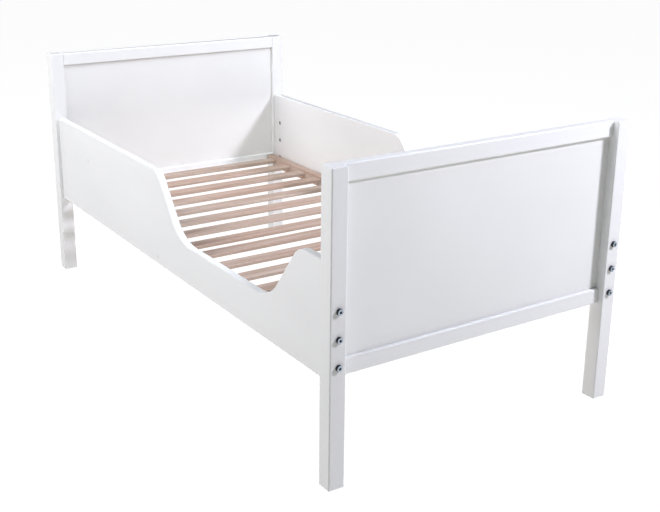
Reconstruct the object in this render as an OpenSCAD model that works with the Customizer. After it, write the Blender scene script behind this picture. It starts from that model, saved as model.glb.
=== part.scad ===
// Toddler bed: two panelled ends, two side boards with a climb-in cut-out,
// and a slatted base in two halves that lies loose on ledges.
// X runs across the bed, Y from the foot (-Y) to the head (+Y), Z up.
// The origin is on the floor, under the middle of the bed.

/* [Mattress] */
// Width of the mattress that the bed takes
mattress_w = 700; // [560:10:900]
// Length of the mattress that the bed takes
mattress_l = 1400; // [1150:10:2000]
// Room between the mattress and each side board
side_room = 6; // [2:1:15]
// Room between the mattress and each end
end_room = 13; // [5:1:25]

/* [Posts] */
// Side of the square post
post_size = 37; // [34:1:60]
// Height of the posts
post_h = 656; // [540:2:900]
// Rounding of the long edges of posts and end rails
edge_r = 3; // [1:0.5:5]

/* [Bed ends] */
// Height of the top and bottom rail of an end
end_rail_h = 35; // [30:1:60]
// Thickness of an end rail
end_rail_t = 22.5; // [20:0.5:34]
// Height of the bottom rail's underside above the floor
end_rail_z = 236; // [180:1:260]
// Thickness of the end panel
panel_t = 6; // [4:1:10]
// How far the panel's edge goes into its groove
panel_tongue = 8; // [5:1:12]
// Play of the panel in the groove, on each face
panel_play = 0.1; // [0.05:0.05:0.5]
// Diameter of the dowels between end rails and posts
dowel_d = 8; // [6:1:8]
// How far a dowel goes into the rail
dowel_rail_l = 28; // [20:1:40]
// Wood left in the post between a dowel's end and the bolt holes
dowel_wall = 2; // [1.5:0.5:4]

/* [Side boards] */
// Thickness of a side board
board_t = 19; // [16:1:24]
// Height of a side board
board_h = 240; // [230:5:320]
// Height of its underside above the floor
board_z = 228; // [180:1:240]
// How far the board's outer face stands back from the post's
board_setback = 10; // [6:1:14]

/* [Climb-in cut-out] */
// Depth of the cut-out below the board's top edge
cut_depth = 148; // [100:1:180]
// Length of the cut-out at the board's top edge
cut_l = 651; // [560:1:900]
// Length of board left at the foot post
cut_foot_margin = 96; // [60:1:200]
// Length taken up by each sloping side
cut_slope_l = 115; // [80:1:150]
// Radius at the top corners of the cut-out
cut_top_r = 50; // [20:1:60]
// Radius at the bottom corners of the cut-out
cut_bottom_r = 115; // [40:1:140]

/* [Slatted base] */
// Width of the base's side rail
base_rail_w = 30; // [26:1:45]
// Height of the base's side rail
base_rail_h = 18; // [15:1:30]
// Rounding of the rail's long edges
base_rail_r = 2; // [1:0.5:3]
// Slats in each half of the base
slats_per_half = 8; // [5:1:9]
// Width of a slat
slat_w = 40; // [30:1:60]
// Thickness of a slat
slat_t = 10; // [7:1:12]
// Rounding of the slat's long edges
slat_r = 4; // [1:0.5:4]
// Distance from the rail's end to the first slat's middle
slat_margin = 38.5; // [32:0.5:70]
// How far a slat plugs into the rail
slat_tongue = 12; // [8:1:18]
// Room between the base and each side board
base_side_gap = 1.5; // [0.5:0.5:4]
// Room between the base and each end
base_end_gap = 3; // [1:0.5:6]
// Room between the two halves of the base
half_gap = 1; // [0.5:0.5:3]

/* [Ledges] */
// Width of the ledge under the base
ledge_w = 20; // [15:1:30]
// Height of the ledge
ledge_h = 18; // [14:1:30]
// Height of its underside above the side board's
ledge_lift = 2; // [0:1:10]
// Length of board left free at each end of the ledge
ledge_end_gap = 20; // [5:1:60]
// Screws in each ledge
ledge_screws = 6; // [4:1:10]
// Diameter of a ledge screw
screw_d = 4; // [3:0.5:5]
// Diameter of its countersunk head
screw_head_d = 8; // [6:0.5:9]
// How far a ledge screw goes into the side board
screw_bite = 12; // [8:1:13]

/* [Bolts and barrel nuts] */
// Bolts in each post
bolt_count = 3; // [2:1:3]
// Height of the lowest bolt above the side board's underside
bolt_z = 35; // [25:1:45]
// Distance from one bolt to the next
bolt_pitch = 57.5; // [40:0.5:70]
// Diameter of a bolt
bolt_d = 6; // [5:1:8]
// How far a bolt runs past its barrel nut
bolt_overrun = 3.5; // [0:0.5:5]
// Diameter of a bolt's head
bolt_head_d = 13; // [11:0.5:15]
// Height of a bolt's head
bolt_head_h = 6; // [4:0.5:8]
// Width across the flats of the head's socket
socket_w = 5; // [4:1:6]
// Depth of the head's socket
socket_depth = 3; // [2:0.5:3.5]
// Play of a bolt in the wood, on the radius
bolt_play = 0.5; // [0.2:0.1:1]
// Diameter of a barrel nut
nut_d = 10; // [10:1:12]
// Wood left between a barrel nut's hole and the board's outer face
nut_wall = 3; // [2:0.5:4]
// How deep the nut's end lies in the board's inner face
nut_inset = 1; // [0.5:0.5:2]
// Distance from the board's end to the nut's middle
nut_from_end = 34.5; // [28:0.5:40]

/* [Hidden] */
// Play of glued or screwed round parts in their holes, on the radius
glue_play = 0.05;
// Extra depth below a dowel, a panel edge or a slat's end
end_play = 1;
// Overrun of cutting shapes past the faces that they cut
over = 1;
// Facets of round holes and pins
$fn = 48;

board_l = mattress_l + 2 * end_room;
inner_w = mattress_w + 2 * side_room;
bed_w = inner_w + 2 * (board_t + board_setback);
bed_l = board_l + 2 * post_size;
end_rail_l = bed_w - 2 * post_size;

// End rails stand flush with the posts' inner faces; the panel is in their middle
end_rail_y = board_l / 2 + end_rail_t / 2;
top_rail_z = post_h - end_rail_h;
// Two dowels stand one above the other in the part of the rail that has no groove,
// each this share of that room from its edge
dowel_edge_share = 0.27;
dowel_room = end_rail_h - panel_tongue - end_play;
dowel_rows = [dowel_edge_share * dowel_room, (1 - dowel_edge_share) * dowel_room];
dowel_post_l = post_size - board_setback - board_t / 2 - bolt_d / 2 - bolt_play - dowel_wall;
panel_w = end_rail_l + 2 * panel_tongue;
panel_z = end_rail_z + end_rail_h - panel_tongue;
panel_h = top_rail_z + panel_tongue - panel_z;

board_x = inner_w / 2 + board_t / 2;

// A bolt goes through the post, along the board and through its nut
bolt_reach = nut_from_end + nut_d / 2 + bolt_overrun;
bolt_l = post_size + bolt_reach;
nut_l = board_t - nut_inset - end_play - nut_wall;

// Side view of a board's cut-out: distance from the foot end, height, and rounding
cut_end = cut_foot_margin + cut_l;
cut_floor = board_h - cut_depth;
cut_corners = [
    [0, board_h],
    [cut_foot_margin, board_h],
    [cut_foot_margin + cut_slope_l, cut_floor],
    [cut_end - cut_slope_l, cut_floor],
    [cut_end, board_h],
    [board_l, board_h]
];
cut_radii = [0, cut_top_r, cut_bottom_r, cut_bottom_r, cut_top_r];
// Straight steps in each rounded corner
arc_steps = 16;

ledge_z = board_z + ledge_lift;
ledge_l = board_l - 2 * ledge_end_gap;
ledge_screw_pitch = (ledge_l - 2 * ledge_end_gap) / (ledge_screws - 1);
screw_z = ledge_z + ledge_h / 2;
screw_l = ledge_w + screw_bite;

base_z = ledge_z + ledge_h;
base_w = inner_w - 2 * base_side_gap;
half_l = (board_l - 2 * base_end_gap - half_gap) / 2;
half_y = (half_l + half_gap) / 2;
base_rail_x = base_w / 2 - base_rail_w / 2;
slat_l = base_w - 2 * base_rail_w + 2 * slat_tongue;
slat_pitch = (half_l - 2 * slat_margin) / (slats_per_half - 1);
slat_z = base_z + base_rail_h / 2;

// The corners, as [name, side in X, end in Y]
corners = [
    ["foot_left", -1, -1],
    ["foot_right", 1, -1],
    ["head_left", -1, 1],
    ["head_right", 1, 1]
];
ends = [["foot", -1], ["head", 1]];
sides = [["left", -1], ["right", 1]];

function slat_names(end) = [for (i = [1:slats_per_half]) str(end, "_slat_", i)];

// A w by h rectangle about the origin, with corners of radius r
module round_rectangle(w, h, r) {
    square([w - 2 * r, h], center = true);
    square([w, h - 2 * r], center = true);
    for (x = [-1, 1], y = [-1, 1])
        translate([x * (w / 2 - r), y * (h / 2 - r)])
            circle(r);
}

// A bar of size [x, y, z] about the origin, with all its edges rounded
module round_bar(size, r) {
    intersection() {
        linear_extrude(size[2], center = true)
            round_rectangle(size[0], size[1], r);
        rotate([90, 0, 0])
            linear_extrude(size[1], center = true)
                round_rectangle(size[0], size[2], r);
    }
}

// Places a child, along +Y, at the height of each bolt of one corner
module at_bolts(x, y) {
    for (i = [0:bolt_count - 1])
        translate([x, y, board_z + bolt_z + i * bolt_pitch])
            rotate([-90, 0, 0])
                children();
}

// Dowels between the rails and posts of one end, or their holes when grown by some play
module dowels(end, radial_play, depth_play) {
    for (x = [-1, 1], row = dowel_rows, z = [end_rail_z + row, post_h - row])
        translate([
            x * (end_rail_l / 2 + (dowel_post_l - dowel_rail_l) / 2),
            end * end_rail_y,
            z
        ])
            rotate([0, 90, 0])
                cylinder(
                    r = dowel_d / 2 + radial_play,
                    h = dowel_post_l + dowel_rail_l + 2 * depth_play,
                    center = true
                );
}

// The space that the end panel's edges fill in rails and posts
module panel_groove(end) {
    translate([0, end * end_rail_y, panel_z + panel_h / 2])
        cube(
            [
                panel_w + 2 * end_play,
                panel_t + 2 * panel_play,
                panel_h + 2 * end_play
            ],
            center = true
        );
}

// Square post, drilled for the bolts from its outer face
module post(side, end) {
    color("whitesmoke")
        difference() {
            translate([side * (bed_w - post_size) / 2, end * (bed_l - post_size) / 2, post_h / 2])
                intersection() {
                    round_bar([post_size, post_size, post_h], edge_r);
                    rotate([0, 90, 0])
                        linear_extrude(post_size, center = true)
                            round_rectangle(post_h, post_size, edge_r);
                }
            at_bolts(side * board_x, end * (bed_l - post_size) / 2)
                cylinder(
                    r = bolt_d / 2 + bolt_play,
                    h = post_size + 2 * over,
                    center = true
                );
            dowels(end, glue_play, end_play);
            panel_groove(end);
        }
}

// Rail of a bed end; its underside is at height z
module end_rail(end, z) {
    color("whitesmoke")
        difference() {
            translate([0, end * end_rail_y, z + end_rail_h / 2])
                rotate([90, 0, 90])
                    linear_extrude(end_rail_l, center = true)
                        round_rectangle(end_rail_t, end_rail_h, edge_r);
            dowels(end, glue_play, end_play);
            panel_groove(end);
        }
}

// Thin panel, held on all four edges
module end_panel(end) {
    color("white")
        translate([0, end * end_rail_y, panel_z + panel_h / 2])
            cube([panel_w, panel_t, panel_h], center = true);
}

// Points of an arc of radius r that rounds the corner b between a and c
function rounded_corner(a, b, c, r) =
    let (
        to_a = (a - b) / norm(a - b),
        to_c = (c - b) / norm(c - b),
        half_angle = acos(to_a * to_c) / 2,
        centre = b + (to_a + to_c) / norm(to_a + to_c) * r / sin(half_angle),
        first = b + to_a * r / tan(half_angle) - centre,
        last = b + to_c * r / tan(half_angle) - centre,
        start = atan2(first[1], first[0]),
        turn = atan2(first[0] * last[1] - first[1] * last[0], first * last)
    )
    [
        for (i = [0:arc_steps])
            let (angle = start + turn * i / arc_steps)
            centre + r * [cos(angle), sin(angle)]
    ];

// The points that round corner i of the cut-out
function cut_arc(i) = rounded_corner(
    cut_corners[i - 1],
    cut_corners[i],
    cut_corners[i + 1],
    cut_radii[i]
);

// Side view of a board
board_outline = concat(
    [[0, 0], [0, board_h]],
    [for (i = [1:len(cut_radii) - 1], p = cut_arc(i)) p],
    [[board_l, board_h], [board_l, 0]]
);

// Side board, cut away for climbing in, with barrel nut holes in its inner face
module side_board(side) {
    color("whitesmoke")
        difference() {
            translate([side * board_x - board_t / 2, -board_l / 2, board_z])
                rotate([90, 0, 90])
                    linear_extrude(board_t)
                        polygon(board_outline);
            for (end = [-1, 1]) {
                at_bolts(side * board_x, end * board_l / 2)
                    cylinder(
                        r = bolt_d / 2 + bolt_play,
                        h = 2 * (bolt_reach + end_play),
                        center = true
                    );
                at_nuts(side, end, -over)
                    cylinder(d = nut_d + 2 * glue_play, h = nut_inset + nut_l + end_play + over);
            }
            ledge_screw_places(side)
                cylinder(d = screw_d + 2 * glue_play, h = screw_l + end_play);
        }
}

// Places a child, which points outwards, at each barrel nut of one corner,
// at a depth below the side board's inner face
module at_nuts(side, end, depth) {
    for (i = [0:bolt_count - 1])
        translate([
            side * (inner_w / 2 + depth),
            end * (board_l / 2 - nut_from_end),
            board_z + bolt_z + i * bolt_pitch
        ])
            rotate([0, side * 90, 0])
                children();
}

// Places a child, which points outwards, at each screw of one ledge
module ledge_screw_places(side) {
    for (i = [0:ledge_screws - 1])
        translate([
            side * (inner_w / 2 - ledge_w),
            (i - (ledge_screws - 1) / 2) * ledge_screw_pitch,
            screw_z
        ])
            rotate([0, side * 90, 0])
                children();
}

// Countersunk screw, or its hole, pointing along +Z from its head's flat
module countersunk(d, head_d, l) {
    cylinder(d = d, h = l);
    cylinder(d1 = head_d, d2 = d, h = (head_d - d) / 2);
}

// Ledge that carries the slatted base
module ledge(side) {
    color("burlywood")
        difference() {
            translate([side * (inner_w - ledge_w) / 2, 0, ledge_z + ledge_h / 2])
                cube([ledge_w, ledge_l, ledge_h], center = true);
            ledge_screw_places(side)
                countersunk(screw_d + 2 * glue_play, screw_head_d + 2 * glue_play, ledge_w + over);
        }
}

// Screws of one ledge; each has a small six-sided socket in its head
module ledge_screw_set(side) {
    color("silver")
        ledge_screw_places(side)
            difference() {
                countersunk(screw_d, screw_head_d, screw_l);
                cylinder(d = screw_d / 2, h = screw_d / 2, $fn = 6);
            }
}

// Cross-section of a slat, or of its socket when grown by some play
module slat_section(play) {
    round_rectangle(slat_w + 2 * play, slat_t + 2 * play, slat_r + play);
}

// Place of a slat along the bed; number 1 is nearest the middle
function slat_y(end, i) = end * (half_y - half_l / 2 + slat_margin + (i - 1) * slat_pitch);

// Slat i of one half of the base
module slat(end, i) {
    color("tan")
        translate([0, slat_y(end, i), slat_z])
            rotate([90, 0, 90])
                linear_extrude(slat_l, center = true)
                    slat_section(0);
}

// Side rail of one half of the base, with a socket for every slat's end
module base_rail(side, end) {
    color("tan")
        difference() {
            translate([side * base_rail_x, end * half_y, base_z + base_rail_h / 2])
                rotate([90, 0, 0])
                    linear_extrude(half_l, center = true)
                        round_rectangle(base_rail_w, base_rail_h, base_rail_r);
            for (i = [1:slats_per_half])
                translate([0, slat_y(end, i), slat_z])
                    rotate([90, 0, 90])
                        linear_extrude(slat_l + 2 * end_play, center = true)
                            slat_section(glue_play);
        }
}

// Socket-head connector bolts of one corner; heads stand on the post's outer face
module bolt_set(side, end) {
    color("silver")
        at_bolts(side * board_x, end * bed_l / 2)
            mirror([0, 0, end < 0 ? 1 : 0])
                difference() {
                    union() {
                        cylinder(d = bolt_head_d, h = bolt_head_h);
                        translate([0, 0, -bolt_l])
                            cylinder(d = bolt_d, h = bolt_l);
                    }
                    translate([0, 0, bolt_head_h - socket_depth])
                        cylinder(d = socket_w / cos(30), h = socket_depth + over, $fn = 6);
                }
}

// Barrel nuts of one corner, cross-drilled for the bolts
module nut_set(side, end) {
    color("dimgray")
        difference() {
            at_nuts(side, end, nut_inset)
                cylinder(d = nut_d, h = nut_l);
            at_bolts(side * board_x, end * (board_l / 2 - nut_from_end))
                cylinder(r = bolt_d / 2 + glue_play, h = nut_d + 2 * over, center = true);
        }
}

// The dowels of one end
module dowel_set(end) {
    color("peru")
        dowels(end, 0, 0);
}

for (c = corners) {
    post(c[1], c[2]);
    base_rail(c[1], c[2]);
    bolt_set(c[1], c[2]);
    nut_set(c[1], c[2]);
}
for (e = ends) {
    end_rail(e[1], top_rail_z);
    end_rail(e[1], end_rail_z);
    end_panel(e[1]);
    dowel_set(e[1]);
    for (i = [1:slats_per_half])
        slat(e[1], i);
}
for (s = sides) {
    side_board(s[1]);
    ledge(s[1]);
    ledge_screw_set(s[1]);
}
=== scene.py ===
import math
import random

import bmesh
import bpy
from mathutils import Matrix, Vector


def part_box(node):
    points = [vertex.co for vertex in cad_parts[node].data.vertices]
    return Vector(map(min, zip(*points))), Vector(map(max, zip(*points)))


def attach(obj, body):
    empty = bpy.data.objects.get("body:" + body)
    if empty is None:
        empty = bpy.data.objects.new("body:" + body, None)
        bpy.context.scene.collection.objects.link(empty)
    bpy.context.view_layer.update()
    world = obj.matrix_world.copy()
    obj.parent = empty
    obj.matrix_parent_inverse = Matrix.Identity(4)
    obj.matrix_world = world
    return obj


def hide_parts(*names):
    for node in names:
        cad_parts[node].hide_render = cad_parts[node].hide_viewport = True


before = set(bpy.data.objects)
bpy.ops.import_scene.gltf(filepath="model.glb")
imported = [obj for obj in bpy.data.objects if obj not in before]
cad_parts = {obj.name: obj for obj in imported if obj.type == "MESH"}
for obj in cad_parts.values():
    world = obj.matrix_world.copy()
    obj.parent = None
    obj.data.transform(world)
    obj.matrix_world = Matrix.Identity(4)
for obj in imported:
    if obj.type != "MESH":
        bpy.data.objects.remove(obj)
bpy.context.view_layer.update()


# ---- Posts ----
# Four square posts of sanded pine, one at each corner, with every edge rounded over.
# They are sprayed white, and then the holes for the bolts are drilled right through, so
# the holes are raw wood inside.

MM = 0.001
X, Y, Z = range(3)


def linear(hex_colour):
    """An sRGB colour such as "#F4F3EF" as linear red, green, blue and alpha."""
    parts = [int(hex_colour[i:i + 2], 16) / 255 for i in (1, 3, 5)]
    return [p / 12.92 if p <= 0.04045 else ((p + 0.055) / 1.055) ** 2.4 for p in parts] + [1]


def add_node(tree, kind, inputs=None, **settings):
    """Adds a node with its settings; each input takes a value or another node's output."""
    node = tree.nodes.new("ShaderNode" + kind)
    for name, value in settings.items():
        setattr(node, name, value)
    for socket, value in (inputs or {}).items():
        if isinstance(value, bpy.types.NodeSocket):
            tree.links.new(value, node.inputs[socket])
        else:
            node.inputs[socket].default_value = value
    return node


def new_finish(name, sockets):
    """A material whose shader has those values; returns the material, its nodes and its shader."""
    material = bpy.data.materials.new(name)
    material.use_nodes = True
    shader = material.node_tree.nodes["Principled BSDF"]
    for socket, value in sockets.items():
        shader.inputs[socket].default_value = value
    return material, material.node_tree, shader


def place_in_tree(tree, grain, stretch):
    """Where each point lay in the log, squeezed along the grain so that patterns come out long."""
    here = add_node(tree, "TexCoord").outputs["Object"]
    plank = add_node(tree, "Attribute", attribute_name="plank").outputs["Vector"]
    place = add_node(tree, "VectorMath", {0: here, 1: plank}, operation="ADD").outputs[0]
    scale = [1, 1, 1]
    scale[grain] = 1 / stretch
    return add_node(tree, "Mapping", {"Vector": place, "Scale": scale}).outputs[0]


def lacquered_pine(name, grain):
    """Pine sprayed with white satin lacquer: an even, quiet sheen, with the growth rings just
    showing through as long shallow ridges, and a few knots that ghost through a little yellow."""
    material, tree, shader = new_finish(
        name, {"IOR": 1.48, "Coat Weight": 0.15, "Coat Roughness": 0.2}
    )

    # Growth rings lie about 3 mm apart, drawn coarser so that they show under the lacquer
    ring_gap = 7 * MM
    rings = add_node(
        tree, "TexNoise",
        {"Vector": place_in_tree(tree, grain, 30), "Scale": 1 / ring_gap, "Detail": 3.0},
    ).outputs["Fac"]
    # Sprayed lacquer dries a little dimpled, drawn coarser than the real 1 mm so that it shows
    dimple_size = 6 * MM
    dimples = add_node(
        tree, "TexNoise",
        {"Vector": place_in_tree(tree, grain, 1), "Scale": 1 / dimple_size, "Detail": 1.0},
    ).outputs["Fac"]
    cloud_size = 140 * MM
    clouds = add_node(
        tree, "TexNoise",
        {"Vector": place_in_tree(tree, grain, 3), "Scale": 1 / cloud_size, "Detail": 2.0},
    ).outputs["Fac"]

    # Knots lie in a plane along the grain, so that each one comes out on every face it crosses
    knot_gap = 190 * MM
    knot_radius = 7 * MM
    knot_rarity = 0.55
    knot_ghost = 0.28
    split = add_node(tree, "SeparateXYZ", {"Vector": place_in_tree(tree, grain, 1.5)})
    across = [axis for axis in (X, Y, Z) if axis != grain]
    side = add_node(
        tree, "Math", {0: split.outputs[across[0]], 1: split.outputs[across[1]]}, operation="ADD"
    ).outputs[0]
    knot_plane = add_node(tree, "CombineXYZ", {"X": split.outputs[grain], "Y": side}).outputs[0]
    knots = add_node(
        tree, "TexVoronoi", {"Vector": knot_plane, "Scale": 1 / knot_gap}, voronoi_dimensions="2D"
    )
    near_knot = add_node(
        tree, "MapRange",
        {
            "Value": knots.outputs["Distance"],
            "From Min": 0.4 * knot_radius / knot_gap,
            "From Max": knot_radius / knot_gap,
            "To Min": 1.0,
            "To Max": 0.0,
        },
        interpolation_type="SMOOTHSTEP",
    ).outputs[0]
    has_knot = add_node(
        tree, "Math", {0: knots.outputs["Color"], 1: knot_rarity}, operation="GREATER_THAN"
    ).outputs[0]
    knot = add_node(tree, "Math", {0: near_knot, 1: has_knot}, operation="MULTIPLY").outputs[0]

    # A Mix node takes its two colours at sockets 6 and 7, and gives the mixed one at 2
    white = add_node(
        tree, "Mix", {0: clouds, 6: linear("#F3F3F2"), 7: linear("#ECECEB")}, data_type="RGBA"
    ).outputs[2]
    ghost = add_node(tree, "Math", {0: knot, 1: knot_ghost}, operation="MULTIPLY").outputs[0]
    colour = add_node(
        tree, "Mix", {0: ghost, 6: white, 7: linear("#D9CFB9")}, data_type="RGBA"
    ).outputs[2]
    tree.links.new(colour, shader.inputs["Base Color"])

    sheen = add_node(
        tree, "MapRange", {"Value": clouds, "To Min": 0.36, "To Max": 0.48}
    ).outputs[0]
    tree.links.new(sheen, shader.inputs["Roughness"])

    ridges = add_node(
        tree, "Bump", {"Height": rings, "Distance": 0.1 * MM, "Strength": 0.7}
    ).outputs[0]
    skin = add_node(
        tree, "Bump", {"Height": dimples, "Distance": 0.04 * MM, "Strength": 0.7, "Normal": ridges}
    ).outputs[0]
    tree.links.new(skin, shader.inputs["Normal"])
    return material


def drilled_pine():
    """Raw pine where a drill has cut across its fibres: torn, dull and much darker than the face."""
    material, tree, shader = new_finish("drilled_pine", {"Roughness": 0.9, "IOR": 1.4})
    fibre_size = 1.5 * MM
    fibres = add_node(
        tree, "TexNoise",
        {"Vector": place_in_tree(tree, Z, 5), "Scale": 1 / fibre_size, "Detail": 3.0},
    ).outputs["Fac"]
    colour = add_node(
        tree, "Mix", {0: fibres, 6: linear("#8A6E55"), 7: linear("#5F4836")}, data_type="RGBA"
    ).outputs[2]
    tree.links.new(colour, shader.inputs["Base Color"])
    torn = add_node(tree, "Bump", {"Height": fibres, "Distance": 0.3 * MM}).outputs[0]
    tree.links.new(torn, shader.inputs["Normal"])
    return material


# Facets across a rounded long edge and across the edge of an end, and the gap that counts as none
edge_facets = 5
end_facets = 2
touching = 0.001 * MM


def rounded_bar(low, high, grain, edge, end_edge):
    """A bar that fills that box, its long edges rounded by edge and its ends by end_edge."""
    bar = bmesh.new()
    bmesh.ops.create_cube(bar, size=1)
    size = high - low
    for corner in bar.verts:
        corner.co = Vector([low[i] + (corner.co[i] + 0.5) * size[i] for i in (X, Y, Z)])
    rounding = {"segments": edge_facets, "profile": 0.5, "affect": "EDGES"}
    if edge == end_edge:
        bmesh.ops.bevel(bar, geom=bar.edges[:], offset=edge, **rounding)
        return bar
    runs = [e.verts[0].co - e.verts[1].co for e in bar.edges]
    long_edges = [e for e, run in zip(bar.edges, runs) if abs(run[grain]) > run.length / 2]
    bmesh.ops.bevel(bar, geom=long_edges, offset=edge, **rounding)
    rim = [
        e for e in bar.edges
        if any(all(abs(v.co[grain] - end[grain]) < touching for v in e.verts) for end in (low, high))
    ]
    rounding["segments"] = end_facets
    bmesh.ops.bevel(bar, geom=rim, offset=end_edge, **rounding)
    return bar


def turned(profile, steps=40):
    """A closed solid turned about Z; profile is its (radius, height) points, from axis to axis."""
    solid = bmesh.new()
    rings = []
    for radius, height in profile:
        turns = [2 * math.pi * i / steps for i in range(steps if radius else 1)]
        rings.append([
            solid.verts.new((radius * math.cos(a), radius * math.sin(a), height)) for a in turns
        ])
    for ring, after in zip(rings, rings[1:]):
        for i in range(steps):
            four = [ring[i % len(ring)], ring[(i + 1) % len(ring)],
                    after[(i + 1) % len(after)], after[i % len(after)]]
            solid.faces.new(dict.fromkeys(four))
    bmesh.ops.recalc_face_normals(solid, faces=solid.faces[:])
    return solid


def gathered(solids):
    """One mesh of several solids, each given as (solid, matrix)."""
    whole = bmesh.new()
    for solid, matrix in solids:
        part = bpy.data.meshes.new("part")
        solid.to_mesh(part)
        part.transform(matrix)
        whole.from_mesh(part)
        bpy.data.meshes.remove(part)
    mesh = bpy.data.meshes.new("solids")
    whole.to_mesh(mesh)
    whole.free()
    return mesh


def cut(mesh, cutters, finish):
    """The mesh with the cutters, given as (solid, matrix), taken out; the cut faces get that finish."""
    tool_mesh = gathered(cutters)
    tool_mesh.materials.append(finish)
    work, tool = (bpy.data.objects.new("cutting", m) for m in (mesh, tool_mesh))
    for thing in (work, tool):
        bpy.context.scene.collection.objects.link(thing)
    boolean = work.modifiers.new("cut", "BOOLEAN")
    boolean.object = tool
    boolean.operation = "DIFFERENCE"
    boolean.solver = "EXACT"
    boolean.material_mode = "TRANSFER"
    seen = work.evaluated_get(bpy.context.evaluated_depsgraph_get())
    result = bpy.data.meshes.new_from_object(seen)
    for thing in (work, tool):
        bpy.data.objects.remove(thing)
    return result


log_reach = 9
sharp_edge = math.radians(32)


def fit(name, mesh, body, nodes):
    """Makes the mesh a piece that rides on the body and stands for those CAD nodes."""
    mesh.name = name
    # Each piece was cut from its own plank, so its grain starts somewhere else
    log = random.Random(name)
    plank = [log.uniform(-log_reach, log_reach) for _ in range(3)]
    spots = mesh.attributes.new("plank", "FLOAT_VECTOR", "POINT")
    spots.data.foreach_set("vector", plank * len(mesh.vertices))
    mesh.shade_smooth()
    mesh.set_sharp_from_angle(angle=sharp_edge)
    piece = bpy.data.objects.new(name, mesh)
    bpy.context.scene.collection.objects.link(piece)
    flats = piece.modifiers.new("flats", "WEIGHTED_NORMAL")
    flats.keep_sharp = True
    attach(piece, body)
    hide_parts(*nodes)
    return piece


def grown(low, high, play):
    """A box made larger by play along each axis."""
    return low - Vector(play), high + Vector(play)


edge_round = 3 * MM
bolt_hole_r = 3.5 * MM
bolt_head_r = 6.5 * MM
dowel_r = 4 * MM
dowel_in_rail = 28 * MM
dowel_pitch = 11.96 * MM
glue_play = 0.05 * MM
end_play = 1 * MM
groove_play = 0.1 * MM
groove_corner = 0.2 * MM
over = 2 * MM

post_finish = lacquered_pine("lacquered_pine_upright", Z)
raw_finish = drilled_pine()


def bolt_heights(corner):
    """Heights of the three bolts of that corner."""
    low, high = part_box(corner + "_bolts")
    first, last = low.z + bolt_head_r, high.z - bolt_head_r
    return [first, (first + last) / 2, last]


def dowel_places(end):
    """The (start, length, y, z) of each dowel of that end, which runs from start along +X."""
    low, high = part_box(end + "_dowels")
    rail_low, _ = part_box(end + "_top_rail")
    length = rail_low.x + dowel_in_rail - low.x
    first, last = low.z + dowel_r, high.z - dowel_r
    rows = [first, first + dowel_pitch, last - dowel_pitch, last]
    return [
        (start, length, (low.y + high.y) / 2, z) for start in (low.x, high.x - length) for z in rows
    ]


def dowel_holes(end):
    """Cutters for the dowel holes of that end."""
    holes = []
    for start, length, y, z in dowel_places(end):
        hole = turned([
            (0, -end_play),
            (dowel_r + glue_play, -end_play),
            (dowel_r + glue_play, length + end_play),
            (0, length + end_play),
        ])
        holes.append((hole, Matrix.Translation((start, y, z)) @ Matrix.Rotation(math.pi / 2, 4, "Y")))
    return holes


def panel_groove(end):
    """Cutter for the groove that holds the edges of that end's panel."""
    low, high = grown(*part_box(end + "_panel"), (end_play, groove_play, end_play))
    return rounded_bar(low, high, X, groove_corner, groove_corner), Matrix()


for corner in ("foot_left", "foot_right", "head_left", "head_right"):
    end = corner.split("_")[0]
    outward = -1 if end == "foot" else 1
    low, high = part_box(corner + "_post")
    bolts_low, bolts_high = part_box(corner + "_bolts")
    depth = high.y - low.y
    bolt_hole = [(0, over), (bolt_hole_r, over), (bolt_hole_r, -depth - over), (0, -depth - over)]
    face_y = low.y if outward < 0 else high.y
    turn = Matrix.Rotation(-outward * math.pi / 2, 4, "X")
    cutters = [
        (turned(bolt_hole), Matrix.Translation(((bolts_low.x + bolts_high.x) / 2, face_y, z)) @ turn)
        for z in bolt_heights(corner)
    ]
    cutters += dowel_holes(end)
    cutters.append(panel_groove(end))
    mesh = gathered([(rounded_bar(low, high, Z, edge_round, edge_round), Matrix())])
    mesh.materials.append(post_finish)
    mesh = cut(mesh, cutters, raw_finish)
    fit(corner + "_lacquered_post", mesh, "bed_frame", [corner + "_post"])


# ---- End rails ----
# A top and a bottom rail at each end, dowelled and glued between the posts. The same
# sprayed pine, with the grain running across the bed; only a hairline shows at the joints.

butt_arris = 0.6 * MM
rail_finish = lacquered_pine("lacquered_pine_crosswise", X)
for end in ("foot", "head"):
    for level in ("top", "bottom"):
        node = f"{end}_{level}_rail"
        mesh = gathered([(rounded_bar(*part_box(node), X, edge_round, butt_arris), Matrix())])
        mesh.materials.append(rail_finish)
        mesh = cut(mesh, dowel_holes(end) + [panel_groove(end)], raw_finish)
        fit(f"{end}_{level}_lacquered_rail", mesh, "bed_frame", [node])


# ---- End panels ----
# One thin fibreboard panel in each end, held by a groove on all four sides. It is rolled
# and sprayed flat, without any grain.

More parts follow.
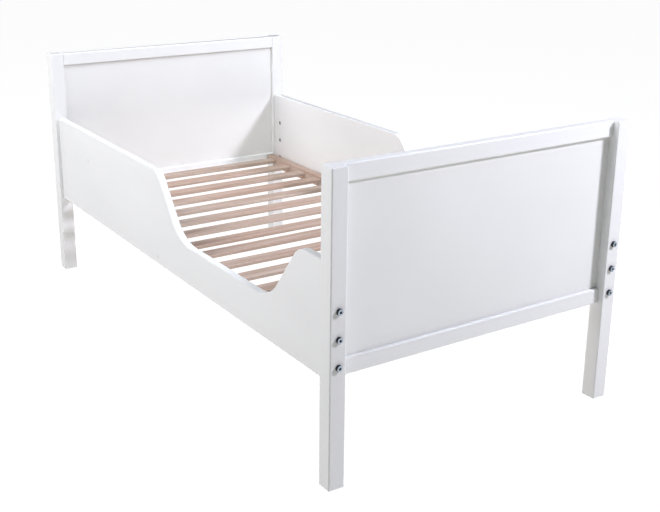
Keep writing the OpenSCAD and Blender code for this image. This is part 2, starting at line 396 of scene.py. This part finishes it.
def lacquered_fibreboard():
    """Fibreboard under white lacquer: smoother and flatter than the pine, and faintly dimpled."""
    material, tree, shader = new_finish(
        "lacquered_fibreboard", {"IOR": 1.48, "Coat Weight": 0.15, "Coat Roughness": 0.25}
    )
    # Drawn coarser than the real 1 mm, as on the pine
    dimple_size = 5 * MM
    dimples = add_node(
        tree, "TexNoise",
        {"Vector": place_in_tree(tree, X, 1), "Scale": 1 / dimple_size, "Detail": 1.0},
    ).outputs["Fac"]
    cloud_size = 220 * MM
    clouds = add_node(
        tree, "TexNoise",
        {"Vector": place_in_tree(tree, X, 1), "Scale": 1 / cloud_size, "Detail": 2.0},
    ).outputs["Fac"]
    colour = add_node(
        tree, "Mix", {0: clouds, 6: linear("#F2F2F0"), 7: linear("#ECECEA")}, data_type="RGBA"
    ).outputs[2]
    tree.links.new(colour, shader.inputs["Base Color"])
    sheen = add_node(
        tree, "MapRange", {"Value": clouds, "To Min": 0.4, "To Max": 0.5}
    ).outputs[0]
    tree.links.new(sheen, shader.inputs["Roughness"])
    skin = add_node(
        tree, "Bump", {"Height": dimples, "Distance": 0.03 * MM, "Strength": 0.6}
    ).outputs[0]
    tree.links.new(skin, shader.inputs["Normal"])
    return material


panel_arris = 0.5 * MM
panel_finish = lacquered_fibreboard()
for end in ("foot", "head"):
    mesh = gathered([(rounded_bar(*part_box(end + "_panel"), X, panel_arris, panel_arris), Matrix())])
    mesh.materials.append(panel_finish)
    fit(end + "_lacquered_panel", mesh, "bed_frame", [end + "_panel"])


# ---- Side boards ----
# Two boards of glued pine, bolted between the posts. Each has a low stretch for climbing
# in, sawn to easy curves, and its edges are rounded over before it is sprayed.

def rounded_corner(before, corner, after, radius, steps=24):
    """Points of the arc that rounds a corner of an outline, given as 2-D points."""
    to_before, to_after = (before - corner).normalized(), (after - corner).normalized()
    half_angle = to_before.angle(to_after) / 2
    centre = corner + (to_before + to_after).normalized() * radius / math.sin(half_angle)
    first = corner + to_before * radius / math.tan(half_angle) - centre
    turn = to_before.angle_signed(to_after)
    sweep = math.copysign(math.pi - 2 * half_angle, turn)
    return [centre + Matrix.Rotation(sweep * i / steps, 2) @ first for i in range(steps + 1)]


cut_depth = 148 * MM
cut_l = 651 * MM
cut_foot_margin = 96 * MM
cut_slope_l = 115 * MM
cut_top_r = 50 * MM
cut_bottom_r = 115 * MM
nut_r = 5 * MM
nut_hole_depth = 16 * MM
hole_arris = 0.4 * MM
screw_r = 2 * MM
screw_head_r = 4 * MM
ledge_screws = 6
board_finish = lacquered_pine("lacquered_pine_lengthwise", Y)


def board_outline(low, high):
    """Side view of a board as (y, z) points, with the cut-out's corners as arcs."""
    start = low.y + cut_foot_margin
    stop = start + cut_l
    floor_z = high.z - cut_depth
    corners = [Vector(p) for p in (
        (low.y, high.z),
        (start, high.z),
        (start + cut_slope_l, floor_z),
        (stop - cut_slope_l, floor_z),
        (stop, high.z),
        (high.y, high.z),
    )]
    radii = [cut_top_r, cut_bottom_r, cut_bottom_r, cut_top_r]
    outline = [Vector((low.y, low.z)), corners[0]]
    for i, radius in enumerate(radii, start=1):
        outline += rounded_corner(corners[i - 1], corners[i], corners[i + 1], radius)
    return outline + [corners[-1], Vector((high.y, low.z))]


def sawn_board(low, high):
    """The board, with the edges of its top, bottom and cut-out rounded and its ends nearly sharp."""
    board = bmesh.new()
    points = [board.verts.new((low.x, y, z)) for y, z in board_outline(low, high)]
    face = board.faces.new(points)
    raised = bmesh.ops.extrude_face_region(board, geom=[face])["geom"]
    moved = [v for v in raised if isinstance(v, bmesh.types.BMVert)]
    bmesh.ops.translate(board, vec=(high.x - low.x, 0, 0), verts=moved)
    bmesh.ops.recalc_face_normals(board, faces=board.faces[:])

    def at_end(v):
        return min(abs(v.co.y - low.y), abs(v.co.y - high.y)) < touching

    def across(e):
        return abs(e.verts[0].co.x - e.verts[1].co.x) > MM

    long_edges = [e for e in board.edges if not across(e) and not all(at_end(v) for v in e.verts)]
    bmesh.ops.bevel(
        board, geom=long_edges, offset=edge_round, segments=edge_facets, profile=0.5,
        affect="EDGES", clamp_overlap=False,
    )
    rim = [e for e in board.edges if all(at_end(v) for v in e.verts)]
    bmesh.ops.bevel(
        board, geom=rim, offset=butt_arris, segments=end_facets, profile=0.5,
        affect="EDGES", clamp_overlap=False,
    )
    return board


def screw_places(side):
    """Where each ledge screw of that side enters its ledge, and which way it points."""
    low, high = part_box(side + "_ledge_screws")
    first, last = low.y + screw_head_r, high.y - screw_head_r
    outward = -1 if side == "left" else 1
    x = high.x if outward < 0 else low.x
    turn = Matrix.Rotation(outward * math.pi / 2, 4, "Y")
    return [
        Matrix.Translation((x, first + (last - first) * i / (ledge_screws - 1), (low.z + high.z) / 2))
        @ turn
        for i in range(ledge_screws)
    ]


for side in ("left", "right"):
    outward = -1 if side == "left" else 1
    low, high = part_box(side + "_side_board")
    inner_x = high.x if outward < 0 else low.x
    sideways = Matrix.Rotation(outward * math.pi / 2, 4, "Y")
    bolt_cutters, nut_cutters = [], []
    for end in ("foot", "head"):
        corner = f"{end}_{side}"
        towards = -1 if end == "foot" else 1
        end_y = low.y if towards < 0 else high.y
        bolts_low, bolts_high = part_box(corner + "_bolts")
        nuts_low, nuts_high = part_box(corner + "_barrel_nuts")
        tip_y = bolts_high.y if towards < 0 else bolts_low.y
        reach = abs(tip_y - end_y) + end_play
        bolt_hole = [(0, over), (bolt_hole_r, over), (bolt_hole_r, -reach), (0, -reach)]
        nut_hole = [
            (0, -over),
            (nut_r + hole_arris + over, -over),
            (nut_r + hole_arris, 0),
            (nut_r + glue_play, hole_arris),
            (nut_r + glue_play, nut_hole_depth),
            (0, nut_hole_depth),
        ]
        lengthways = Matrix.Rotation(-towards * math.pi / 2, 4, "X")
        for z in bolt_heights(corner):
            at_end = Matrix.Translation(((low.x + high.x) / 2, end_y, z))
            bolt_cutters.append((turned(bolt_hole), at_end @ lengthways))
            at_nut = Matrix.Translation((inner_x, (nuts_low.y + nuts_high.y) / 2, z))
            nut_cutters.append((turned(nut_hole), at_nut @ sideways))
    screws_low, screws_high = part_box(side + "_ledge_screws")
    screw_l = screws_high.x - screws_low.x
    screw_hole = [
        (0, 0),
        (screw_r + glue_play, 0),
        (screw_r + glue_play, screw_l + end_play),
        (0, screw_l + end_play),
    ]
    screw_cutters = [(turned(screw_hole), place) for place in screw_places(side)]
    mesh = gathered([(sawn_board(low, high), Matrix())])
    mesh.materials.append(board_finish)
    # Bolt holes open into nut holes, so they are cut one kind at a time
    for cutters in (bolt_cutters, nut_cutters, screw_cutters):
        mesh = cut(mesh, cutters, raw_finish)
    fit(side + "_lacquered_board", mesh, "bed_frame", [side + "_side_board"])


# ---- Slats and base rails ----
# The base is two loose frames of planed beech, left bare. Each has eight slats whose
# ends plug into mortises in two side rails; the boards are straight-grained and unfinished.

def planed_beech(name, grain):
    """Bare planed beech: pinkish tan, dull, with close straight grain and short darker flecks."""
    material, tree, shader = new_finish(name, {"IOR": 1.45})

    band_gap = 11 * MM
    bands = add_node(
        tree, "TexNoise",
        {"Vector": place_in_tree(tree, grain, 28), "Scale": 1 / band_gap, "Detail": 3.0,
         "Distortion": 0.4},
    ).outputs["Fac"]
    # The fibres are finer than 1 mm, drawn coarser so that they show
    fibre_gap = 3 * MM
    fibres = add_node(
        tree, "TexNoise",
        {"Vector": place_in_tree(tree, grain, 40), "Scale": 1 / fibre_gap, "Detail": 2.0},
    ).outputs["Fac"]
    # Beech rays are dashes 2 mm long, drawn twice as coarse so that they show
    fleck_gap = 4 * MM
    flecks = add_node(
        tree, "TexVoronoi",
        {"Vector": place_in_tree(tree, grain, 3), "Scale": 1 / fleck_gap},
    ).outputs["Distance"]
    fleck = add_node(
        tree, "MapRange",
        {"Value": flecks, "From Min": 0.12, "From Max": 0.3, "To Min": 1, "To Max": 0},
    ).outputs[0]
    cloud_size = 260 * MM
    clouds = add_node(
        tree, "TexNoise",
        {"Vector": place_in_tree(tree, grain, 2), "Scale": 1 / cloud_size, "Detail": 1.0},
    ).outputs["Fac"]

    band_share = add_node(
        tree, "MapRange", {"Value": bands, "From Min": 0.3, "From Max": 0.7}
    ).outputs[0]
    wood = add_node(
        tree, "Mix", {0: band_share, 6: linear("#D5CBC3"), 7: linear("#B6A396")}, data_type="RGBA"
    ).outputs[2]
    fibre_strength = 0.35
    fibre_share = add_node(
        tree, "Math", {0: fibres, 1: fibre_strength}, operation="MULTIPLY"
    ).outputs[0]
    fibred = add_node(
        tree, "Mix", {0: fibre_share, 6: wood, 7: linear("#A89080")}, data_type="RGBA"
    ).outputs[2]
    fleck_strength = 0.3
    fleck_share = add_node(
        tree, "Math", {0: fleck, 1: fleck_strength}, operation="MULTIPLY"
    ).outputs[0]
    flecked = add_node(
        tree, "Mix", {0: fleck_share, 6: fibred, 7: linear("#997A66")}, data_type="RGBA"
    ).outputs[2]
    cloud_share = add_node(
        tree, "MapRange", {"Value": clouds, "From Min": 0.35, "From Max": 0.65, "To Max": 0.35}
    ).outputs[0]
    colour = add_node(
        tree, "Mix", {0: cloud_share, 6: flecked, 7: linear("#C1A495")}, data_type="RGBA"
    ).outputs[2]
    tree.links.new(colour, shader.inputs["Base Color"])

    dullness = add_node(
        tree, "MapRange", {"Value": fibres, "To Min": 0.55, "To Max": 0.75}
    ).outputs[0]
    tree.links.new(dullness, shader.inputs["Roughness"])
    planed = add_node(
        tree, "Bump", {"Height": fibres, "Distance": 0.12 * MM, "Strength": 0.8}
    ).outputs[0]
    tree.links.new(planed, shader.inputs["Normal"])
    return material


slat_round = 4 * MM
slat_arris = 0.3 * MM
base_rail_round = 2 * MM
sawn_arris = 0.7 * MM
mortise_play = (end_play, 0.1 * MM, 0.1 * MM)
slats_per_half = 8
slat_finish = planed_beech("planed_beech_crosswise", X)
base_rail_finish = planed_beech("planed_beech_lengthwise", Y)
for end in ("foot", "head"):
    half = end + "_base_half"
    slats = [f"{end}_slat_{i}" for i in range(1, slats_per_half + 1)]
    for node in slats:
        mesh = gathered([(rounded_bar(*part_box(node), X, slat_round, slat_arris), Matrix())])
        mesh.materials.append(slat_finish)
        fit(node.replace("slat", "beech_slat"), mesh, half, [node])
    for side in ("left", "right"):
        node = f"{end}_{side}_base_rail"
        mortises = []
        for slat in slats:
            room = grown(*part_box(slat), mortise_play)
            mortise = rounded_bar(*room, X, slat_round + mortise_play[Y], slat_arris)
            mortises.append((mortise, Matrix()))
        mesh = gathered([(rounded_bar(*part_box(node), Y, base_rail_round, sawn_arris), Matrix())])
        mesh.materials.append(base_rail_finish)
        mesh = cut(mesh, mortises, base_rail_finish)
        fit(f"{end}_{side}_beech_rail", mesh, half, [node])


# ---- Ledges ----
# A plain beech batten along the foot of each side board's inner face carries the base.
# It is glued, and held by six countersunk screws.

ledge_arris = 1 * MM
for side in ("left", "right"):
    low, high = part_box(side + "_ledge")
    width = high.x - low.x
    screw_hole = [
        (0, -over),
        (screw_head_r + glue_play + over, -over),
        (screw_head_r + glue_play, 0),
        (screw_r + glue_play, screw_head_r - screw_r),
        (screw_r + glue_play, width + over),
        (0, width + over),
    ]
    mesh = gathered([(rounded_bar(low, high, Y, ledge_arris, ledge_arris), Matrix())])
    mesh.materials.append(base_rail_finish)
    mesh = cut(mesh, [(turned(screw_hole), place) for place in screw_places(side)], base_rail_finish)
    fit(side + "_beech_ledge", mesh, "bed_frame", [side + "_ledge"])


# ---- Bolts ----
# Three steel connector bolts through each post, M6 with a knurled socket head, zinc plated.
# Their heads stand proud on the post's outer face, and their threads go into the barrel nuts.

def zinc_plated_steel():
    """Bright zinc over turned steel: a soft metal shine, slightly blue in places and never even."""
    material, tree, shader = new_finish("zinc_plated_steel", {"Metallic": 1.0})
    here = add_node(tree, "TexCoord").outputs["Object"]
    patch_size = 6 * MM
    patches = add_node(
        tree, "TexNoise", {"Vector": here, "Scale": 1 / patch_size, "Detail": 3.0}
    ).outputs["Fac"]
    colour = add_node(
        tree, "Mix", {0: patches, 6: linear("#D2D6DA"), 7: linear("#AEB9C6")}, data_type="RGBA"
    ).outputs[2]
    tree.links.new(colour, shader.inputs["Base Color"])
    shine = add_node(
        tree, "MapRange", {"Value": patches, "To Min": 0.22, "To Max": 0.42}
    ).outputs[0]
    tree.links.new(shine, shader.inputs["Roughness"])
    # Plating is pitted every 0.1 mm or so, drawn much coarser so that it shows
    grit_size = 1.2 * MM
    grit = add_node(tree, "TexNoise", {"Vector": here, "Scale": 1 / grit_size}).outputs["Fac"]
    plated = add_node(
        tree, "Bump", {"Height": grit, "Distance": 0.02 * MM, "Strength": 0.5}
    ).outputs[0]
    tree.links.new(plated, shader.inputs["Normal"])
    return material


def knurl_steel_with_painted_shade():
    """The grooved side of a bolt's head, painted much darker than the plated face: painted shade for a
    side that faces away from the light and reflects dark surroundings.
    """
    material, tree, shader = new_finish(
        "knurled_zinc_painted_shade", {"Metallic": 1.0, "Roughness": 0.5}
    )
    here = add_node(tree, "TexCoord").outputs["Object"]
    painted_shade_mottle_size = 1 * MM
    painted_shade_mottle = add_node(tree, "TexNoise", {"Vector": here, "Scale": 1 / painted_shade_mottle_size}).outputs["Fac"]
    # Both greys are painted shade, far darker than the plated face; the noise only mottles them at
    # random
    colour = add_node(
        tree, "Mix", {0: painted_shade_mottle, 6: linear("#7C8085"), 7: linear("#4C4D4F")}, data_type="RGBA"
    ).outputs[2]
    tree.links.new(colour, shader.inputs["Base Color"])
    return material


def hexagonal(width, bottom, top):
    """A hexagonal key that fills a socket of that width across flats."""
    point_r = width / 2 / math.cos(math.pi / 6)
    return turned([(0, bottom), (point_r, bottom), (point_r, top), (0, top)], steps=6)


def threaded_shank(radius, start, length, pitch, depth):
    """A closed rod down from height start, whose surface follows one long screw thread."""
    steps, rings_per_turn = 20, 6
    rows = round(length / pitch * rings_per_turn)
    rod = bmesh.new()
    rings = []
    for row in range(rows + 1):
        height = start - length * row / rows
        # The thread dies out over the last turn at each end
        fade = min(1, row / rings_per_turn, (rows - row) / rings_per_turn)
        ring = []
        for i in range(steps):
            angle = 2 * math.pi * i / steps
            phase = (height / pitch + i / steps) % 1
            r = radius - depth * fade * (1 - abs(2 * phase - 1))
            ring.append(rod.verts.new((r * math.cos(angle), r * math.sin(angle), height)))
        rings.append(ring)
    for ring, after in zip(rings, rings[1:]):
        for i in range(steps):
            j = (i + 1) % steps
            rod.faces.new((ring[i], ring[j], after[j], after[i]))
    rod.faces.new(rings[0])
    rod.faces.new(rings[-1])
    bmesh.ops.recalc_face_normals(rod, faces=rod.faces[:])
    return rod


bolt_r = 3 * MM
bolt_head_h = 6 * MM
bolt_head_round = 0.8 * MM
socket_w = 5 * MM
socket_depth = 3 * MM
thread_l = 26 * MM
thread_pitch = 1 * MM
thread_depth = 0.5 * MM
# A real knurl has twice as many grooves, drawn coarser so that they show
knurls = 20
knurl_depth = 0.25 * MM
zinc = zinc_plated_steel()
knurled_zinc_painted_dark = knurl_steel_with_painted_shade()


def socket_head_bolt(length):
    """A bolt's head, resting at height 0, and the plain part of its shank with its length."""
    round_steps = 4
    shoulder = [
        (
            bolt_head_r - bolt_head_round * (1 - math.cos(math.pi / 2 * i / round_steps)),
            bolt_head_h - bolt_head_round * (1 - math.sin(math.pi / 2 * i / round_steps)),
        )
        for i in range(round_steps + 1)
    ]
    plain_l = length - thread_l
    shank = [(0, -plain_l), (bolt_r, -plain_l), (bolt_r, 0), (bolt_head_r, 0)]
    head = turned(shank + shoulder + [(0, bolt_head_h)])
    for v in head.verts:
        groove = round(math.atan2(v.co.y, v.co.x) * knurls / math.pi) % 2
        if groove and v.co.xy.length > bolt_head_r - knurl_depth and v.co.z > 0:
            v.co.xy *= 1 - knurl_depth / bolt_head_r
    mesh = gathered([(head, Matrix())])
    mesh.materials.append(zinc)
    key = hexagonal(socket_w, bolt_head_h - socket_depth, bolt_head_h + over)
    return cut(mesh, [(key, Matrix())], zinc), plain_l


for corner in ("foot_left", "foot_right", "head_left", "head_right"):
    outward = -1 if corner.startswith("foot") else 1
    low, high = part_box(corner + "_bolts")
    length = high.y - low.y - bolt_head_h
    seat_y = low.y + bolt_head_h if outward < 0 else high.y - bolt_head_h
    turn = Matrix.Rotation(-outward * math.pi / 2, 4, "X")
    head_mesh, plain_l = socket_head_bolt(length)
    head = bmesh.new()
    head.from_mesh(head_mesh)
    # The head's side, which is outside the shank and faces outward, takes the second material, which is
    # painted dark as painted shade
    for face in head.faces:
        if abs(face.normal.z) < 0.5 and face.calc_center_median().xy.length > bolt_head_r / 2:
            face.material_index = 1
    thread = threaded_shank(bolt_r, -plain_l, length - plain_l, thread_pitch, thread_depth)
    solids = []
    for z in bolt_heights(corner):
        place = Matrix.Translation(((low.x + high.x) / 2, seat_y, z)) @ turn
        solids += [(head, place), (thread, place)]
    mesh = gathered(solids)
    mesh.materials.append(zinc)
    mesh.materials.append(knurled_zinc_painted_dark)
    fit(corner + "_zinc_bolts", mesh, "bed_frame", [corner + "_bolts"])


# ---- Barrel nuts ----
# A short steel rod for each bolt, cross-drilled and threaded, pushed into the side board
# from inside. A screwdriver slot in its end turns it until the bolt finds its thread.

slot_w = 1.6 * MM
slot_depth = 1.5 * MM
slot_corner = 0.1 * MM
nut_arris = 0.5 * MM
for corner in ("foot_left", "foot_right", "head_left", "head_right"):
    outward = -1 if corner.endswith("left") else 1
    low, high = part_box(corner + "_barrel_nuts")
    length = high.x - low.x
    inner_x = high.x if outward < 0 else low.x
    rod = turned([
        (0, 0),
        (nut_r - nut_arris, 0),
        (nut_r, nut_arris),
        (nut_r, length - nut_arris),
        (nut_r - nut_arris, length),
        (0, length),
    ])
    bore = nut_r + over
    slot = rounded_bar(
        Vector((-slot_w / 2, -bore, -over)),
        Vector((slot_w / 2, bore, slot_depth)),
        Y, slot_corner, slot_corner,
    )
    cross_hole = turned([(0, -bore), (bolt_r, -bore), (bolt_r, bore), (0, bore)])
    board_low, board_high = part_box(corner.split("_")[1] + "_side_board")
    bolt_depth = abs((board_low.x + board_high.x) / 2 - inner_x)
    crosswise = Matrix.Translation((0, 0, bolt_depth)) @ Matrix.Rotation(math.pi / 2, 4, "X")
    mesh = gathered([(rod, Matrix())])
    mesh.materials.append(zinc)
    mesh = cut(mesh, [(slot, Matrix()), (cross_hole, crosswise)], zinc)
    nut = bmesh.new()
    nut.from_mesh(mesh)
    sideways = Matrix.Rotation(outward * math.pi / 2, 4, "Y")
    mesh = gathered([
        (nut, Matrix.Translation((inner_x, (low.y + high.y) / 2, z)) @ sideways)
        for z in bolt_heights(corner)
    ])
    mesh.materials.append(zinc)
    fit(corner + "_zinc_barrel_nuts", mesh, "bed_frame", [corner + "_barrel_nuts"])


# ---- Ledge screws ----
# Six countersunk wood screws through each ledge into the side board, zinc plated, with
# a small six-sided socket.

screw_socket_w = 2 * MM
screw_socket_depth = 2 * MM
screw_pitch = 1.8 * MM
screw_thread_depth = 0.5 * MM
screw_plain_l = 12 * MM
for side in ("left", "right"):
    low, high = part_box(side + "_ledge_screws")
    length = high.x - low.x
    neck = screw_head_r - screw_r
    body = turned([
        (0, 0),
        (screw_head_r, 0),
        (screw_r, neck),
        (screw_r, screw_plain_l),
        (0, screw_plain_l),
    ])
    mesh = gathered([(body, Matrix())])
    mesh.materials.append(zinc)
    key = hexagonal(screw_socket_w, -over, screw_socket_depth)
    mesh = cut(mesh, [(key, Matrix())], zinc)
    head = bmesh.new()
    head.from_mesh(mesh)
    thread = threaded_shank(screw_r, 0, length - screw_plain_l, screw_pitch, screw_thread_depth)
    shank_end = Matrix.Translation((0, 0, length))
    solids = []
    for place in screw_places(side):
        solids += [(head, place), (thread, place @ shank_end)]
    mesh = gathered(solids)
    mesh.materials.append(zinc)
    fit(side + "_zinc_screws", mesh, "bed_frame", [side + "_ledge_screws"])


# ---- Dowels ----
# Eight fluted beech dowels in each end join the rails to the posts. The flutes let air
# and spare glue out; their ends are chamfered.

flutes = 14
flute_depth = 0.3 * MM
dowel_chamfer = 1 * MM
dowel_finish = planed_beech("planed_beech_dowel", X)
for end in ("foot", "head"):
    solids = []
    for start, length, y, z in dowel_places(end):
        dowel = turned([
            (0, 0),
            (dowel_r - dowel_chamfer, 0),
            (dowel_r, dowel_chamfer),
            (dowel_r, length - dowel_chamfer),
            (dowel_r - dowel_chamfer, length),
            (0, length),
        ], steps=4 * flutes)
        for v in dowel.verts:
            turn = math.atan2(v.co.y, v.co.x)
            if math.cos(turn * flutes) < 0:
                v.co.xy *= 1 - flute_depth / dowel_r
        solids.append((dowel, Matrix.Translation((start, y, z)) @ Matrix.Rotation(math.pi / 2, 4, "Y")))
    mesh = gathered(solids)
    mesh.materials.append(dowel_finish)
    fit(end + "_fluted_dowels", mesh, "bed_frame", [end + "_dowels"])


# ---- Studio ----
# A pale floor that glows evenly, one compact key light high at the front right, a large soft
# one high on the left, a broad one overhead, and small fills for the inside and the right.

floor_half = 40
floor_mesh = bpy.data.meshes.new("floor")
floor_mesh.from_pydata(
    [(x * floor_half, y * floor_half, 0) for x, y in ((-1, -1), (1, -1), (1, 1), (-1, 1))],
    [], [(0, 1, 2, 3)],
)
floor_mesh.materials.append(new_finish("matt_studio_floor", {
    "Base Color": linear("#4A4A4A"),
    "Roughness": 0.9,
    "Specular IOR Level": 0.2,
    "Emission Color": linear("#FFFFFF"),
    "Emission Strength": 0.98,
})[0])
floor = bpy.data.objects.new("floor", floor_mesh)
bpy.context.scene.collection.objects.link(floor)


def softbox(name, place, target, size, power, colour, spread=math.pi):
    """A soft rectangular light that faces the target."""
    light = bpy.data.lights.new(name, "AREA")
    light.shape = "RECTANGLE"
    light.size, light.size_y = size
    light.energy = power
    light.spread = spread
    light.color = linear(colour)[:3]
    lamp = bpy.data.objects.new(name, light)
    lamp.location = place
    lamp.rotation_euler = (Vector(target) - Vector(place)).to_track_quat("-Z", "Y").to_euler()
    bpy.context.scene.collection.objects.link(lamp)


softbox("key", (1.6, -2.1, 2.0), (0.1, -0.4, 0.35), (0.38, 0.38), 59, "#F3F3FF")
softbox("left_side", (-1.9, 0.6, 2.3), (0, 0.3, 0.35), (2.6, 1.2), 63, "#F7F7FB")
softbox("overhead", (0, 0.1, 2.5), (0, 0.1, 0), (2.0, 2.4), 13, "#F2F4FC")
softbox("inside", (-0.1, -1.0, 2.5), (0.2, 0.6, 0.4), (1.0, 1.0), 5, "#F0FAFF", spread=1.4)
softbox("right_side", (2.6, 0.5, 1.6), (0, 0, 0.4), (1.6, 1.6), 4, "#FFF6F8")

# The backdrop is only there to be seen; it throws no light on the bed
world = bpy.data.worlds.new("white_backdrop")
world.use_nodes = True
world.node_tree.nodes["Background"].inputs["Color"].default_value = linear("#FFFFFF")
world.node_tree.nodes["Background"].inputs["Strength"].default_value = 1.0
bpy.context.scene.world = world
world.cycles_visibility.diffuse = False
world.cycles_visibility.glossy = False
bpy.context.scene.view_settings.view_transform = "Standard"
# A little more contrast than the eye gives, so that white on white still shows its edges
bpy.context.scene.view_settings.gamma = 0.7

camera_data = bpy.data.cameras.new("camera")
camera_data.sensor_width = 36
camera_data.lens = 57.92
camera_data.shift_y = -0.06
camera_place = (-1.3883, -2.2619, 1.1442)
camera_turn, camera_tilt, camera_roll = 0.58432, 0.30797, 0.0106
camera = bpy.data.objects.new("camera", camera_data)
camera.matrix_world = (
    Matrix.Translation(camera_place)
    @ Matrix.Rotation(-camera_turn, 4, "Z")
    @ Matrix.Rotation(math.pi / 2 - camera_tilt, 4, "X")
    @ Matrix.Rotation(camera_roll, 4, "Z")
)
bpy.context.scene.collection.objects.link(camera)
bpy.context.scene.camera = camera

bpy.context.view_layer.update()
